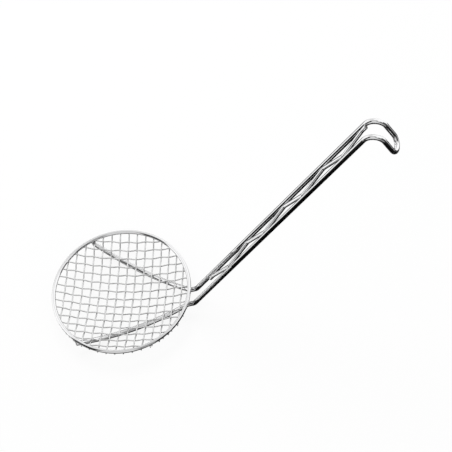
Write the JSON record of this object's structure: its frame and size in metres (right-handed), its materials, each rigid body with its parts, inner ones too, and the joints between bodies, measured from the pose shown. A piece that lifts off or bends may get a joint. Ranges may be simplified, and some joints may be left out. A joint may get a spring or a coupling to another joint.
{
  "type": "wire mesh skimmer",
  "caption": "Shallow round bowl of coarse woven wire mesh on a long raised handle of two braced wire rods with a hook end, for lifting food out of hot oil or water.",
  "frame": {"origin": "centre of the bowl's rim, in the rim's mid plane", "axes": "+Z out of the bowl's mouth, +X from the bowl towards the handle, which rises along +X and +Z, +Y across the handle"},
  "size_m": [0.3934, 0.1524, 0.3598],
  "materials": {
    "frame_wire": "polished",
    "mesh_wire": "polished"
  },
  "bodies": {
    "root": {"rim_ring": "frame_wire", "handle_wire": "frame_wire", "brace_wire": "frame_wire", "mesh_cross_wire_01": "mesh_wire", "mesh_cross_wire_02": "mesh_wire", "mesh_cross_wire_03": "mesh_wire", "mesh_cross_wire_04": "mesh_wire", "mesh_cross_wire_05": "mesh_wire", "mesh_cross_wire_06": "mesh_wire", "mesh_cross_wire_07": "mesh_wire", "mesh_cross_wire_08": "mesh_wire", "mesh_cross_wire_09": "mesh_wire", "mesh_cross_wire_10": "mesh_wire", "mesh_cross_wire_11": "mesh_wire", "mesh_cross_wire_12": "mesh_wire", "mesh_cross_wire_13": "mesh_wire", "mesh_cross_wire_14": "mesh_wire", "mesh_cross_wire_15": "mesh_wire", "mesh_long_wire_01": "mesh_wire", "mesh_long_wire_02": "mesh_wire", "mesh_long_wire_03": "mesh_wire", "mesh_long_wire_04": "mesh_wire", "mesh_long_wire_05": "mesh_wire", "mesh_long_wire_06": "mesh_wire", "mesh_long_wire_07": "mesh_wire", "mesh_long_wire_08": "mesh_wire", "mesh_long_wire_09": "mesh_wire", "mesh_long_wire_10": "mesh_wire", "mesh_long_wire_11": "mesh_wire", "mesh_long_wire_12": "mesh_wire", "mesh_long_wire_13": "mesh_wire", "mesh_long_wire_14": "mesh_wire", "mesh_long_wire_15": "mesh_wire"}
  },
  "joints": []
}
